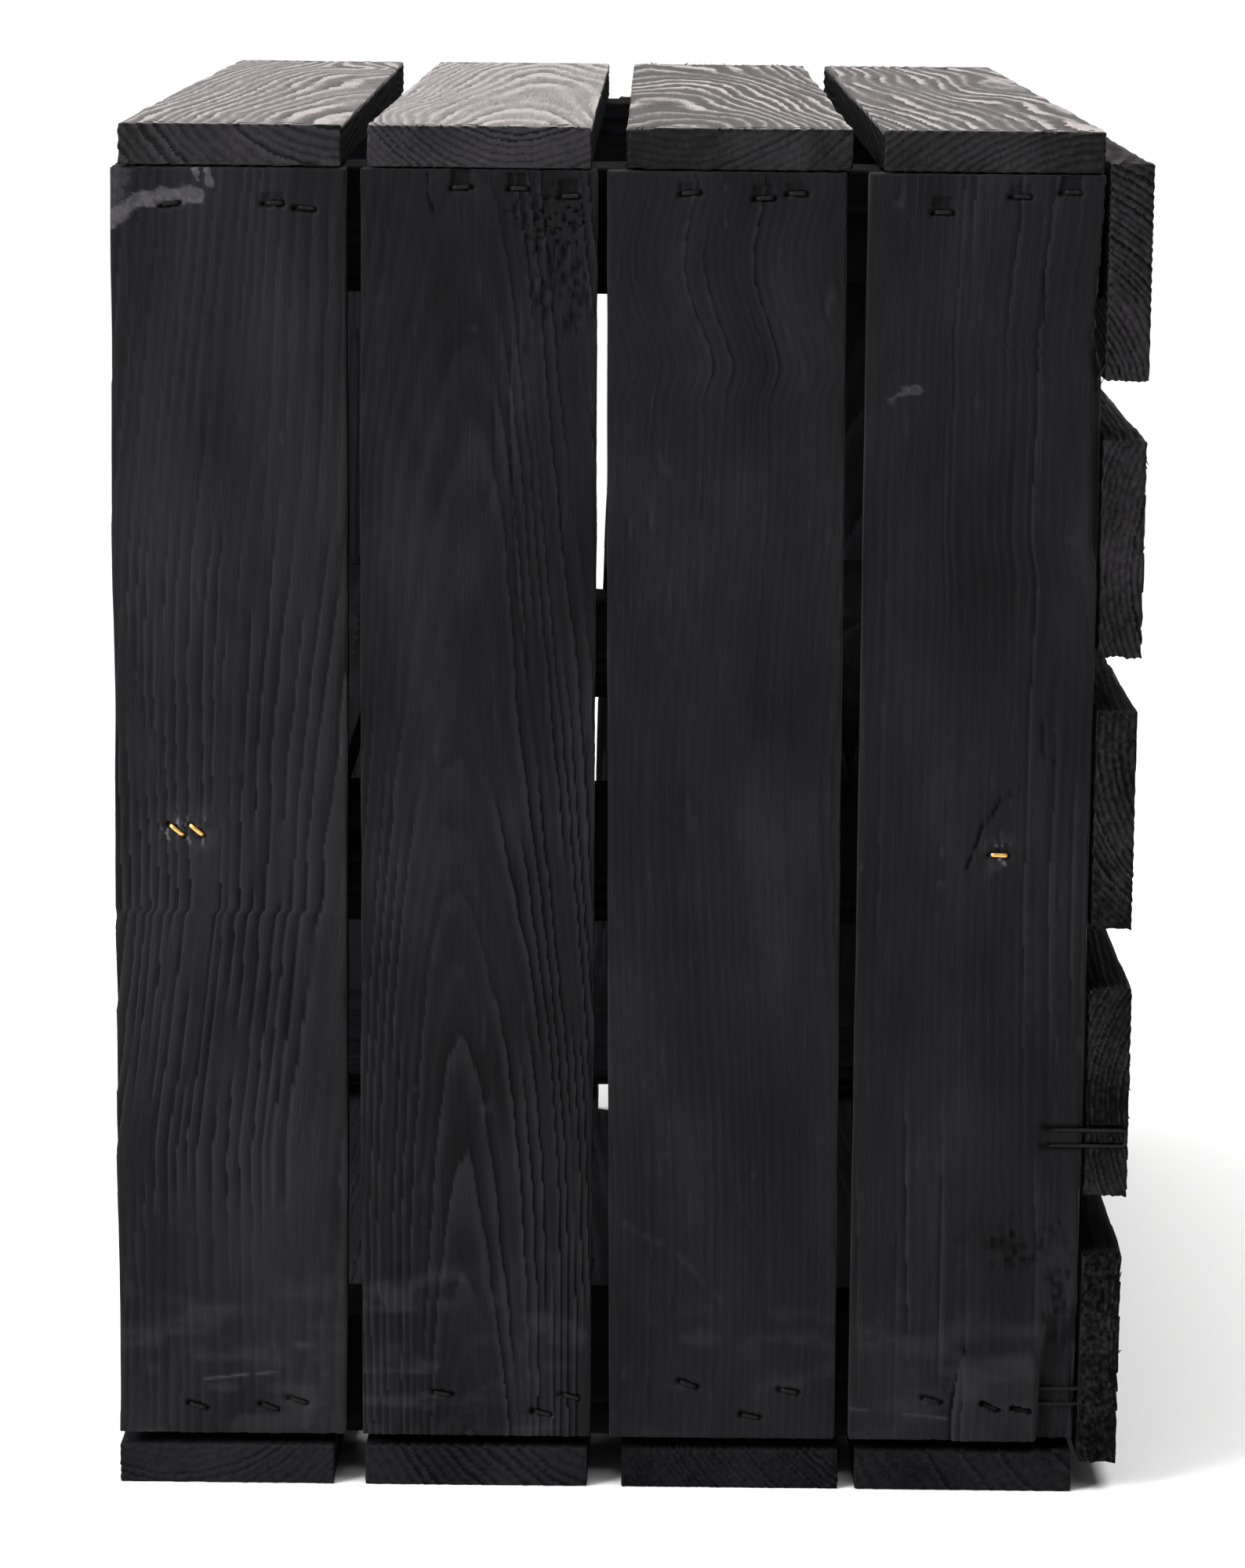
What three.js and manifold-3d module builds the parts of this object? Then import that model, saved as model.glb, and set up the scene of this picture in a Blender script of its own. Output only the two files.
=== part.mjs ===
// A slatted wooden fruit crate with a shelf across its middle, standing on one long side.
//
// Millimetres, +Z up. The crate's length runs along Y, its open mouth faces -X and its base faces +X.
// Inside this file every place is measured from one corner: x from the mouth, y from the outer face
// of the front wall and z from the floor. The group then puts the origin under the middle.

import * as THREE from "three";
import { mergeVertices } from "three/addons/utils/BufferGeometryUtils.js";
import Module from "manifold-3d";

const wasm = await Module();
wasm.setup();

// ---- Driving dimensions ----

const crate = { width: 311, length: 490, height: 420 };
const wallBoard = 12.5;
const postSize = 38;
const gap = 0.3; // the stain between two pieces that touch
const shelfBoard = 12;
const endBoardFoot = 16; // the end walls' boards stop this far above the floor
const postReach = { from: 0.5, to: 297.4 }; // the posts and battens span the walls from mouth to base
const baseInnerFace = postReach.to + gap;
const midBattenFoot = 176.5;
const wane = 11; // the bark edge left off the rear bottom post

const staple = { crown: 5.9, leg: 28, wire: 1.25, thickness: 1.0, recess: 0.3 };

const topInside = crate.height - wallBoard;
const rearInside = crate.length - wallBoard;

// Boards of the two end walls, mouth to base: [left, right] in x at the foot and at the head.
const frontBoards = [
  { foot: [0, 71.5], head: [0.3, 71.5] },
  { foot: [75, 147.2], head: [74.5, 145.8] },
  { foot: [151.8, 222.7], head: [148, 219.9] },
  { foot: [226.2, 296.8], head: [225.9, 297.2] },
];
const rearBoards = [
  { foot: [0.4, 66], head: [3, 70] },
  { foot: [68.5, 136], head: [74.5, 142.3] },
  { foot: [138.8, 209.5], head: [147.5, 218] },
  { foot: [216, 291], head: [222, 297] },
];

// Boards of the long walls, mouth to base: [left, right] in x at the front and at the rear.
const topBoards = [
  { front: [2.3, 69.7], rear: [0, 65] },
  { front: [76.6, 144.1], rear: [78, 145.4] },
  { front: [153.6, 221.9], rear: [154, 221] },
  { front: [229.6, 296.6], rear: [228.5, 294] },
];
const bottomBoards = [
  { front: [0, 67.4], rear: [1, 68] },
  { front: [76.2, 145.9], rear: [78.2, 148] },
  { front: [155.9, 224], rear: [153, 221.4] },
  { front: [228.1, 296.4], rear: [227, 295] },
];
const shelfBoards = [
  { front: [1.5, 70], rear: [2, 70.5] },
  { front: [74.5, 140.5], rear: [74, 140] },
  { front: [150, 220], rear: [150.5, 220.5] },
  { front: [224.5, 296.5], rear: [224, 296] },
];

// Boards of the base, top to bottom: [low, high] in z at the front and at the rear.
const baseBoards = [
  { front: [345, 411.2], rear: [344.2, 410.5], thickness: 13.3 },
  { front: [261.8, 328.7], rear: [262.5, 329.4], thickness: 13.3 },
  { front: [177.9, 246.3], rear: [178.6, 247], thickness: 12.6 },
  { front: [94.2, 160.8], rear: [93.4, 160.2], thickness: 13.3 },
  { front: [8.7, 77.4], rear: [9.3, 78], thickness: 12.2 },
];

// Staples through each front board: x and z of the crown's middle, and how far it turns clockwise.
const stapleRows = {
  top: [
    [{ x: 18.8, z: 396.3, turn: -8 }, { x: 49.8, z: 396.6, turn: 0 }, { x: 59.4, z: 395.3, turn: 4 }],
    [{ x: 105.2, z: 401.8, turn: -4 }, { x: 122.5, z: 401.6, turn: 0 }, { x: 137.8, z: 399.5, turn: -3 }],
    [{ x: 173.4, z: 400.8, turn: -6 }, { x: 195.6, z: 399.4, turn: -3 }, { x: 205.3, z: 400.9, turn: 0 }],
    [{ x: 248.7, z: 395.7, turn: 0 }, { x: 272.1, z: 400.6, turn: 2 }, { x: 287.2, z: 402, turn: 0 }],
  ],
  bottom: [
    [{ x: 24.9, z: 24.6, turn: 16 }, { x: 47.5, z: 24.4, turn: 18 }, { x: 56.5, z: 26.5, turn: 18 }],
    [{ x: 100.7, z: 29.3, turn: 8 }, { x: 132, z: 23.3, turn: 12 }, { x: 140.9, z: 28.7, turn: 14 }],
    [{ x: 176.8, z: 33.1, turn: 20 }, { x: 196.4, z: 23, turn: 10 }, { x: 208.4, z: 31.2, turn: 10 }],
    [{ x: 252.4, z: 28.7, turn: 14 }, { x: 270.7, z: 26.8, turn: 22 }, { x: 280.6, z: 25.9, turn: 12 }],
  ],
};
// Brass staples driven later through the outer front boards into the shelf's batten.
const brassStaples = [
  { board: 0, x: 19.4, z: 206.3, turn: 38 },
  { board: 0, x: 25.4, z: 206.4, turn: 38 },
  { board: 3, x: 269.6, z: 201.2, turn: 2 },
];
// Base staples that run along the front wall's outer face: their legs show in the wood.
const sideStaples = [
  { base: 3, z: 113.3, y: 0.9, reach: 25 },
  { base: 4, z: 30.2, y: 3.2, reach: 26.5 },
];

// The last front board has a splintered edge and has lost the face of its lower corner.
const splinteredEdge = [[297.2, 405], [294.6, 373], [296, 352], [297, 338]];
const brokenCorner = {
  outline: [[285.2, 14], [298, 14], [298, 52], [293.5, 50.5], [289, 43], [286.4, 30]],
  depth: 4,
};

// ---- Materials ----

const stain = 0x28272b;
const bareSteel = 0x4a4a4e;
const brass = 0xb5803a;

function stainedWood() {
  return new THREE.MeshStandardMaterial({ color: stain, roughness: 0.75, metalness: 0 });
}

function wire(color) {
  return new THREE.MeshStandardMaterial({ color, roughness: 0.4, metalness: 1 });
}

// ---- Geometry helpers ----

const along = { x: new THREE.Vector3(1, 0, 0), y: new THREE.Vector3(0, 1, 0), z: new THREE.Vector3(0, 0, 1) };
const prismAxes = {
  x: [along.y, along.z, along.x],
  y: [along.x, along.z, along.y.clone().negate()],
  z: [along.x, along.y, along.z],
};

// A straight prism along an axis: its outline lies in the other two axes, in alphabetical order.
function prism(axis, outline, from, to) {
  const shape = new THREE.Shape(outline.map(([u, v]) => new THREE.Vector2(u, v)));
  const solid = new THREE.ExtrudeGeometry(shape, { depth: to - from, bevelEnabled: false });
  solid.applyMatrix4(new THREE.Matrix4().makeBasis(...prismAxes[axis]));
  const start = along[axis].clone().multiplyScalar(axis === "y" ? to : from);
  return solid.translate(start.x, start.y, start.z);
}

function toManifold(geometry) {
  const bare = geometry.clone();
  bare.deleteAttribute("normal");
  bare.deleteAttribute("uv");
  const merged = mergeVertices(bare, 1e-4);
  return new wasm.Manifold(new wasm.Mesh({
    numProp: 3,
    vertProperties: new Float32Array(merged.attributes.position.array),
    triVerts: new Uint32Array(merged.index.array),
  }));
}

function carve(geometry, cutters) {
  if (cutters.length === 0) return geometry;
  const solid = cutters.reduce((body, cutter) => body.subtract(toManifold(cutter)), toManifold(geometry));
  const mesh = solid.getMesh();
  const carved = new THREE.BufferGeometry();
  carved.setAttribute("position", new THREE.BufferAttribute(new Float32Array(mesh.vertProperties), 3));
  carved.setIndex(new THREE.BufferAttribute(new Uint32Array(mesh.triVerts), 1));
  carved.computeVertexNormals();
  return carved;
}

// A staple lying in the XY plane with its crown on y = 0 and its legs running to +Y.
// A grown one is the hole that it sits in: it is wider all round and reaches out past the face.
function stapleBlank(leg, grow) {
  const outer = staple.crown / 2 + grow;
  const inner = staple.crown / 2 - staple.thickness - grow;
  const face = grow > 0 ? -staple.recess - 1 : 0;
  const crownBack = staple.thickness + grow;
  const outline = [
    [-outer, face], [outer, face], [outer, leg + grow], [inner, leg + grow],
    [inner, crownBack], [-inner, crownBack], [-inner, leg + grow], [-outer, leg + grow],
  ];
  return prism("z", outline, -staple.wire / 2 - grow, staple.wire / 2 + grow);
}

function frontStaple({ x, z, turn }, grow = 0) {
  return stapleBlank(staple.leg, grow)
    .rotateY(THREE.MathUtils.degToRad(turn))
    .translate(x, staple.recess, z);
}

function sideStaple({ base, z, y, reach }, grow = 0) {
  const outerFace = baseInnerFace + baseBoards[base].thickness;
  return stapleBlank(reach, grow)
    .rotateZ(Math.PI / 2)
    .rotateX(Math.PI / 2)
    .translate(outerFace - staple.recess, y, z);
}

// ---- The assembly ----

const assembly = new THREE.Group();
assembly.position.set(-crate.width / 2, -crate.length / 2, 0);

function add(name, geometry, material) {
  const mesh = new THREE.Mesh(geometry, material);
  mesh.name = name;
  assembly.add(mesh);
}

// Everything that a staple passes through is carved with the staple's own, slightly larger, shape.
const boardCutters = frontBoards.map((board, i) => [
  ...stapleRows.top[i].map((place) => frontStaple(place, gap)),
  ...stapleRows.bottom[i].map((place) => frontStaple(place, gap)),
  ...brassStaples.filter((place) => place.board === i).map((place) => frontStaple(place, gap)),
]);
const sideCutters = sideStaples.map((place) => sideStaple(place, gap));

function frontBoardOutline(i) {
  const { foot, head } = frontBoards[i];
  const edge = i === frontBoards.length - 1 ? splinteredEdge : [];
  return [[foot[0], endBoardFoot], [head[0], topInside - gap], [head[1], topInside - gap], ...edge,
    [foot[1], endBoardFoot]];
}

frontBoards.forEach((board, i) => {
  const blank = prism("y", frontBoardOutline(i), 0, wallBoard);
  const isLast = i === frontBoards.length - 1;
  const chips = isLast ? [prism("y", brokenCorner.outline, -1, brokenCorner.depth), ...sideCutters] : [];
  add(`front_board_${i + 1}`, carve(blank, [...boardCutters[i], ...chips]), stainedWood());
});

rearBoards.forEach(({ foot, head }, i) => {
  const outline = [[foot[0], endBoardFoot], [head[0], topInside - gap],
    [head[1], topInside - gap], [foot[1], endBoardFoot]];
  add(`rear_board_${i + 1}`, prism("y", outline, rearInside, crate.length), stainedWood());
});

function lyingBoard({ front, rear }, yFrom, yTo, zFrom, zTo) {
  const outline = [[front[0], yFrom], [front[1], yFrom], [rear[1], yTo], [rear[0], yTo]];
  return prism("z", outline, zFrom, zTo);
}

topBoards.forEach((board, i) => {
  add(`top_board_${i + 1}`, lyingBoard(board, 0, crate.length, topInside, crate.height), stainedWood());
});

bottomBoards.forEach((board, i) => {
  add(`bottom_board_${i + 1}`, lyingBoard(board, 0, crate.length, 0, wallBoard), stainedWood());
});

baseBoards.forEach(({ front, rear, thickness }, i) => {
  const outline = [[0, front[0]], [crate.length, rear[0]], [crate.length, rear[1]], [0, front[1]]];
  const blank = prism("x", outline, baseInnerFace, baseInnerFace + thickness);
  const cutters = sideStaples.filter((place) => place.base === i).map((place) => sideStaple(place, gap));
  add(`base_board_${i + 1}`, carve(blank, cutters), stainedWood());
});

// Posts and battens lie along X behind the end walls. Their sections are drawn in Y and Z.
const frontPostY = [wallBoard + gap, wallBoard + gap + postSize];
const rearPostY = [rearInside - gap - postSize, rearInside - gap];
const topPostZ = [topInside - gap - postSize, topInside - gap];
const bottomPostZ = [wallBoard + gap, wallBoard + gap + postSize];
const midBattenZ = [midBattenFoot, midBattenFoot + postSize];

function section([yFrom, yTo], [zFrom, zTo]) {
  return [[yFrom, zFrom], [yTo, zFrom], [yTo, zTo], [yFrom, zTo]];
}

function waneySection([yFrom, yTo], [zFrom, zTo]) {
  return [[yTo, zFrom], [yTo, zTo], [yFrom, zTo], [yFrom, zFrom + wane]];
}

function addPost(name, outline, cutters = []) {
  add(name, carve(prism("x", outline, postReach.from, postReach.to), cutters), stainedWood());
}

const rowHoles = (row) => row.flat().map((place) => frontStaple(place, gap));
addPost("front_top_post", section(frontPostY, topPostZ), rowHoles(stapleRows.top));
addPost("front_bottom_post", section(frontPostY, bottomPostZ), rowHoles(stapleRows.bottom));
addPost("rear_top_post", section(rearPostY, topPostZ));
addPost("rear_bottom_post", waneySection(rearPostY, bottomPostZ));
addPost("front_shelf_batten", section(frontPostY, midBattenZ), rowHoles(brassStaples));
addPost("rear_shelf_batten", section(rearPostY, midBattenZ));

const shelfFoot = midBattenZ[1] + gap;
shelfBoards.forEach((board, i) => {
  const shelf = lyingBoard(board, frontPostY[0] + gap, rearPostY[1] - gap, shelfFoot, shelfFoot + shelfBoard);
  add(`shelf_board_${i + 1}`, shelf, stainedWood());
});

for (const [rowName, row] of Object.entries(stapleRows)) {
  row.flat().forEach((place, i) => {
    add(`${rowName}_staple_${i + 1}`, frontStaple(place), wire(bareSteel));
  });
}
brassStaples.forEach((place, i) => {
  add(`brass_staple_${i + 1}`, frontStaple(place), wire(brass));
});
sideStaples.forEach((place, i) => {
  add(`side_staple_${i + 1}`, sideStaple(place), wire(bareSteel));
});

export default assembly;
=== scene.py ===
"""A slatted fruit crate, stained matt black, standing on one long side on a pale floor.

Each board, post and staple replaces its CAD solid, with the surface of sawn and weathered wood.
Lengths are in millimetres until a mesh is made. Blender's own values are in metres.
"""

import math

import bpy
import numpy as np
from mathutils import Matrix, Vector


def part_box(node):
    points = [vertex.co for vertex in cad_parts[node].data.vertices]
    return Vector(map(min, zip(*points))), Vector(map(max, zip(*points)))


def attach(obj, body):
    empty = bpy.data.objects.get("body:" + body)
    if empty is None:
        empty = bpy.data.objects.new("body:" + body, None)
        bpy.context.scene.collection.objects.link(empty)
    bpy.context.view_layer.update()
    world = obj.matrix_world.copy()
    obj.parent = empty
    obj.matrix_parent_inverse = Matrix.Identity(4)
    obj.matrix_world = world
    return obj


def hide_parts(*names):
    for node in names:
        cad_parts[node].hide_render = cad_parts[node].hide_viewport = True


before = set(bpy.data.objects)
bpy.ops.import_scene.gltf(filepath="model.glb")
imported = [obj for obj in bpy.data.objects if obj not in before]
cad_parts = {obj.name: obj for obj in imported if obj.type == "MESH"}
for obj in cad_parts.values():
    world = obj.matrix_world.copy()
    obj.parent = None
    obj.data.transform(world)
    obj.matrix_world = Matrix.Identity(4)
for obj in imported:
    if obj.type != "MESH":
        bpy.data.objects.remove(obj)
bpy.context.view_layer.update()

MM = 0.001
X, Y, Z = np.eye(3)

# ---------- noise

LATTICE_SIZE = 256
LATTICE = np.random.default_rng(11).uniform(-1.0, 1.0, (LATTICE_SIZE, LATTICE_SIZE))


def noise(x, y, seed=0):
    """Smooth noise from -1 to 1 over a plane, with one bump a unit."""
    x = np.asarray(x, float) + 37.17 * seed
    y = np.asarray(y, float) + 59.83 * seed
    column, row = np.floor(x).astype(int), np.floor(y).astype(int)
    u, v = x - column, y - row
    u, v = u * u * (3 - 2 * u), v * v * (3 - 2 * v)
    left, right = column % LATTICE_SIZE, (column + 1) % LATTICE_SIZE
    low, high = row % LATTICE_SIZE, (row + 1) % LATTICE_SIZE
    bottom = LATTICE[left, low] * (1 - u) + LATTICE[right, low] * u
    top = LATTICE[left, high] * (1 - u) + LATTICE[right, high] * u
    return bottom * (1 - v) + top * v


def fractal(x, y, seed=0, octaves=3):
    """Noise with finer and weaker bumps added to it."""
    total, weight = 0.0, 1.0
    for octave in range(octaves):
        total = total + weight * noise(x * 2**octave, y * 2**octave, seed + 7 * octave)
        weight *= 0.5
    return total


def smooth(low, high, value):
    """0 below low, 1 above high, and a smooth rise between them."""
    t = np.clip((value - low) / (high - low), 0, 1)
    return t * t * (3 - 2 * t)


def window(value, low, high, soft):
    """1 between low and high, with soft ends outside them."""
    return smooth(low - soft, low, value) * (1 - smooth(high, high + soft, value))


# ---------- wood

# How a board was cut and how rough it has become. Places are from its foot, left edge and outer face.
WOOD = {
    "ring": 2.6,        # spacing of the growth rings
    "pith": (35, 30),   # where the tree's heart lay: from the left edge and out from the face
    "taper": 0.03,      # how fast the heart moves away along the board
    "warp": 1.5,        # how far the rings wander
    "knots": (),        # places and sizes that the rings bend round
    "relief": 0.16,     # how far the soft wood between rings has worn away
    "torn": 0.25,       # height of the torn steps at the edges of some rings
    "torn_reach": 55,   # how long such a step runs
    "torn_from": 0.0,   # from -1, every ring, to 1, none
    "saw": 0.08,        # depth of the saw's ragged ridges along the board
    "saw_width": 1.6,
    "chatter": 0.0,     # depth of the saw's waves across the board
    "wave": 0.5,        # how far the long edges wander
    "arris": 0.5,       # radius of the worn corners
    "ring_tone": 0.06,  # how much paler the hard rings are
    "face_tone": 1.0,   # how much stronger that is on the outer face
    "end_tone": -1.0,   # and on the ends, where the hard rings are darker
    "edge_tone": 0.0,   # how much paler the long edges and head are; below 0 it is painted shade in the gaps
    "edge_saw": 0.12,   # depth of the saw's marks in them
    "end_saw": 0.14,    # depth of the saw's marks in the ends
    "tone": 0.0,        # how much paler than its neighbours the board is
}


def ring_phase(a, w, t, wood, seed):
    """How many growth rings lie between the tree's heart and a point of the board."""
    swell = 6 * noise(a / 130, 0 * a, seed + 1)
    across = w - wood["pith"][0] - swell
    depth = t + wood["pith"][1] + wood["taper"] * a + 2 * noise(a / 90, w / 60, seed + 2)
    radius = np.hypot(across, depth) + wood["warp"] * noise(w / 18, a / 110, seed + 3)
    for place, side, size in wood["knots"]:
        off_knot = ((a - place) / (2.5 * size)) ** 2 + ((w - side) / size) ** 2
        radius = radius + 0.55 * size * np.exp(-off_knot)
    wobble = 0.5 * noise(radius / 6.5, 0 * a, seed + 13) + 0.12 * noise(w / 3, a / 13 + t / 4, seed + 14)
    return radius / wood["ring"] + wobble


def ring_edges(phase, a, wood, seed):
    """The torn edge of each ring, which comes and goes: a raised lip beside a groove."""
    edge = np.round(phase)
    beside = phase - edge
    shown = noise(edge * 3.7 + 0.3, a / wood["torn_reach"], seed + 12)
    shown = smooth(wood["torn_from"], wood["torn_from"] + 0.4, shown)
    groove = np.where(beside >= 0, np.exp(-beside / 0.2), 0) * shown
    lip = np.where(beside < 0, np.exp(beside / 0.16), 0) * shown
    return groove, lip


def grain_relief(a, w, t, wood, seed, shown=1.0, lean=0.0):
    """How far the surface lies below the sawn plane, and how pale the stain is on it, with painted highlight
    and shade at the torn ring edges.
    """
    phase = ring_phase(a, w + lean, t, wood, seed)
    part = phase - np.floor(phase)
    hard = np.exp(-(((part - 0.72) / 0.2) ** 2))
    eroded = wood["relief"] * (1 - hard) * (0.65 + 0.35 * noise(a / 70, w / 25, seed + 4))
    groove, lip = ring_edges(phase, a, wood, seed)
    depth = np.maximum(eroded, 0) + wood["torn"] * shown * (groove - 0.55 * lip)
    fine_speckle = 0.75 + 0.25 * noise(w / 0.8, a / 9 + t / 0.8, seed + 15)
    speckle = fine_speckle * (0.7 + 0.5 * noise(a / 75, w / 20, seed + 16))
    # Painted highlight and shade: the stain is paler on a torn ring's raised lip and darker in its groove.
    tone = wood["ring_tone"] * (2 * hard - 0.6) * speckle + shown * (0.45 * lip - 0.25 * groove)
    return depth, tone


def saw_relief(a, w, wood, seed):
    """Ragged ridges that a saw leaves along a board, and its waves across them."""
    drift = 1.5 * noise(a / 60, w / 40, seed + 5)
    ridges = fractal((w + drift) / wood["saw_width"], a / 38, seed + 6, 3)
    fuzz = 0.25 * noise(a / 3.1 + w / 30, w / 50, seed + 8)
    patch = 0.6 + 0.4 * noise(a / 80, w / 30, seed + 9)
    bend = a / 6.5 + 1.6 * noise(w / 35, a / 90, seed + 10)
    waves = wood["chatter"] * smooth(0.2, 0.9, np.sin(2 * np.pi * bend))
    waves = waves * smooth(-0.2, 0.5, noise(a / 40, w / 20, seed + 11))
    return wood["saw"] * (0.6 + ridges * 0.5 + fuzz) * patch + waves


# ---------- marks in a face

# A mark is a function of the places p (across) and q (along) on a board's outer face. It gives how
# far the face is cut in there and how much of the stain is worn off.


def near_path(p, q, path):
    """Distance to a path of straight stretches."""
    best = np.full(np.shape(p), 1e9)
    for (p0, q0), (p1, q1) in zip(path, path[1:]):
        run, rise = p1 - p0, q1 - q0
        share = np.clip(((p - p0) * run + (q - q0) * rise) / (run**2 + rise**2), 0, 1)
        best = np.minimum(best, np.hypot(p - p0 - share * run, q - q0 - share * rise))
    return best


def crack(path, width, depth):
    """A fine split along a path, with a ragged edge."""
    def mark(p, q):
        distance = near_path(p, q, path) + 0.5 * noise(p / 1.3, q / 2.1, 31)
        cut = depth * np.exp(-((np.maximum(distance, 0) / width) ** 2))
        return cut, 0 * p
    return mark


def scratch(path, width, worn):
    """A line along which the stain is scraped thin."""
    def mark(p, q):
        broken = smooth(-0.5, 0.2, noise(p / 4, q / 2, 32))
        line = np.exp(-((near_path(p, q, path) / width) ** 2)) * broken
        return 0.1 * line, worn * line
    return mark


def torn_patch(middle, size, depth, seed, stroke=(1.6, 4.0)):
    """Ragged pits between fibres, deepest at the middle of the patch."""
    def mark(p, q):
        reach = np.hypot((p - middle[0]) / size[0], (q - middle[1]) / size[1])
        fade = 1 - smooth(0.35, 1.0, reach + 0.35 * noise(p / 6, q / 9, seed))
        pits = smooth(0.08, 0.4, fractal(p / stroke[0] + q / 9, q / stroke[1] - p / 12, seed + 1, 3))
        return depth * fade * pits, 0 * p
    return mark


def worn_patch(path, width, worn, seed, ragged=1.0):
    """Stain rubbed off along a path, with a ragged outline."""
    def mark(p, q):
        distance = near_path(p, q, path) + ragged * fractal(p / 3.5, q / 2.2, seed, 3)
        cover = 1 - smooth(width * 0.75, width, distance)
        return 0.12 * cover, worn * cover * (0.8 + 0.35 * noise(p / 1.1, q / 1.1, seed + 1))
    return mark


def scuffs(low, high, strength, seed):
    """Dust and rubbing in wide streaks, over a stretch of the board's length."""
    def mark(p, q):
        streak = smooth(0.0, 0.9, fractal(p / 16, q / 5, seed, 4))
        return 0 * p, strength * window(q, low, high, 18) * streak
    return mark


def staple_seat(place, crown, driver, depth=1.2):
    """The dent round a staple's crown, the holes at its ends and the stapler's mark above it."""
    def mark(p, q):
        along = (p - place[0]) * crown[0] + (q - place[1]) * crown[1]
        above = (q - place[1]) * crown[0] - (p - place[0]) * crown[1]
        ragged = 0.35 * noise(p / 0.9, q / 0.9, 33)
        dent = depth * window(along, -3.2, 3.2, 0.5) * window(above + ragged, -0.6, 0.8, 0.5)
        nose = driver * 0.2 * window(along + ragged, -2.9, 2.9, 0.4) * window(above, 0.6, 0.6 + driver, 0.5)
        holes = 2.2 * np.exp(-(((np.abs(along) - 3.1) / 0.75) ** 2 + (above / 0.8) ** 2))
        return np.maximum.reduce([dent, nose, holes]), 0 * p
    return mark


def chipped(place, size, seed):
    """Pale chips and smeared stain round a staple that was driven in later."""
    def mark(p, q):
        reach = np.hypot(p - place[0], q - place[1])
        near = 1 - smooth(2.5, size, reach)
        chips = 0.6 * smooth(0.42, 0.55, noise(p / 0.8, q / 1.5, seed)) * near
        smear = smooth(-0.1, 0.5, fractal(p / 4, q / 4, seed + 1, 2)) * (1 - smooth(4, size + 4, reach))
        pits = smooth(-0.2, 0.5, noise(p / 1.2, q / 1.9, seed + 2))
        return 0.5 * near * pits, np.maximum(chips, 0.05 * smear)
    return mark


def all_marks(marks, p, q):
    """The deepest cut and the most wear of several marks."""
    cut, worn = 0 * p, 0 * p
    for mark in marks:
        more_cut, more_worn = mark(p, q)
        cut = np.where(np.abs(more_cut) > np.abs(cut), more_cut, cut)
        worn = np.maximum(worn, more_worn)
    return cut, worn


# ---------- board meshes


def graded(length, step, fine=0.0, zones=(), edge=1.2):
    """Grid places from 0 to length: close at both ends, fine in the zones and coarser elsewhere."""
    near = np.array([0.0, 0.2, 0.45, 0.7, 1.0]) * edge
    body = [near[-1]]
    while body[-1] < length - edge:
        here = body[-1]
        inside = any(low <= here <= high for low, high in zones)
        body.append(here + (fine if inside else step))
    body = np.array(body)
    body = near[-1] + (body - near[-1]) * (length - 2 * edge) / (body[-1] - near[-1])
    return np.concatenate([near[:-1], body, length - near[-2::-1]])


def quads(ids):
    return np.stack([ids[:-1, :-1], ids[1:, :-1], ids[1:, 1:], ids[:-1, 1:]], -1).reshape(-1, 4)


def shell(a, w, t):
    """The outside of a grid of points: the points' places in the grid, and quads."""
    counts = (len(a), len(w), len(t))
    index = np.indices(counts)
    outside = np.zeros(counts, bool)
    for axis in range(3):
        outside |= (index[axis] == 0) | (index[axis] == counts[axis] - 1)
    ids = np.full(counts, -1)
    ids[outside] = np.arange(outside.sum())
    faces = []
    for axis in range(3):
        low, high = np.take(ids, 0, axis), np.take(ids, -1, axis)
        faces.append(quads(low)[:, ::-1] if axis != 1 else quads(low))
        faces.append(quads(high) if axis != 1 else quads(high)[:, ::-1])
    return [index[axis][outside] for axis in range(3)], np.concatenate(faces)


def write_mesh(name, points, faces, attributes):
    """A mesh object from points in millimetres in the crate's frame, and quads."""
    mesh = bpy.data.meshes.new(name)
    mesh.vertices.add(len(points))
    mesh.vertices.foreach_set("co", (points * MM).astype(np.float32).ravel())
    mesh.loops.add(faces.size)
    mesh.loops.foreach_set("vertex_index", faces.astype(np.int32).ravel())
    mesh.polygons.add(len(faces))
    mesh.polygons.foreach_set("loop_start", np.arange(0, faces.size, faces.shape[1], dtype=np.int32))
    mesh.update(calc_edges=True)
    mesh.polygons.foreach_set("use_smooth", np.ones(len(faces), bool))
    for label, values in attributes.items():
        kind = "FLOAT" if values.ndim == 1 else "FLOAT_VECTOR"
        field = "value" if values.ndim == 1 else "vector"
        layer = mesh.attributes.new(label, kind, "POINT")
        layer.data.foreach_set(field, values.astype(np.float32).ravel())
    mesh.validate()
    piece = bpy.data.objects.new(name, mesh)
    bpy.context.scene.collection.objects.link(piece)
    return piece


def cad_points(node):
    """The corners of a CAD solid, in millimetres."""
    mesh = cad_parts[node].data
    points = np.empty(len(mesh.vertices) * 3, np.float32)
    mesh.vertices.foreach_get("co", points)
    return points.reshape(-1, 3).astype(float) / MM


def board_place(node, along, across, inward):
    """Where a CAD board lies: its ends, its edges at foot and head, and its outer and inner faces."""
    points = cad_points(node)
    a, w, t = points @ along, points @ across, points @ inward
    foot, head = a < a.min() + 1, a > a.max() - 1
    return {
        "a": (a.min(), a.max()),
        "foot": (w[foot].min(), w[foot].max()),
        "head": (w[head].min(), w[head].max()),
        "t": (t.min(), t.max()),
    }


ROUND_START = 0.293  # where the grid's corner lies on a worn arris, in radii from each face
ROUND_PACE = 0.707   # how fast the grid moves out from there


def rounding(distance, radius):
    """How far a worn arris falls in at a distance from the sharp corner."""
    nominal = np.minimum(ROUND_START * radius + ROUND_PACE * distance, radius)
    return radius - np.sqrt(np.maximum(radius**2 - (radius - nominal) ** 2, 0))


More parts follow.
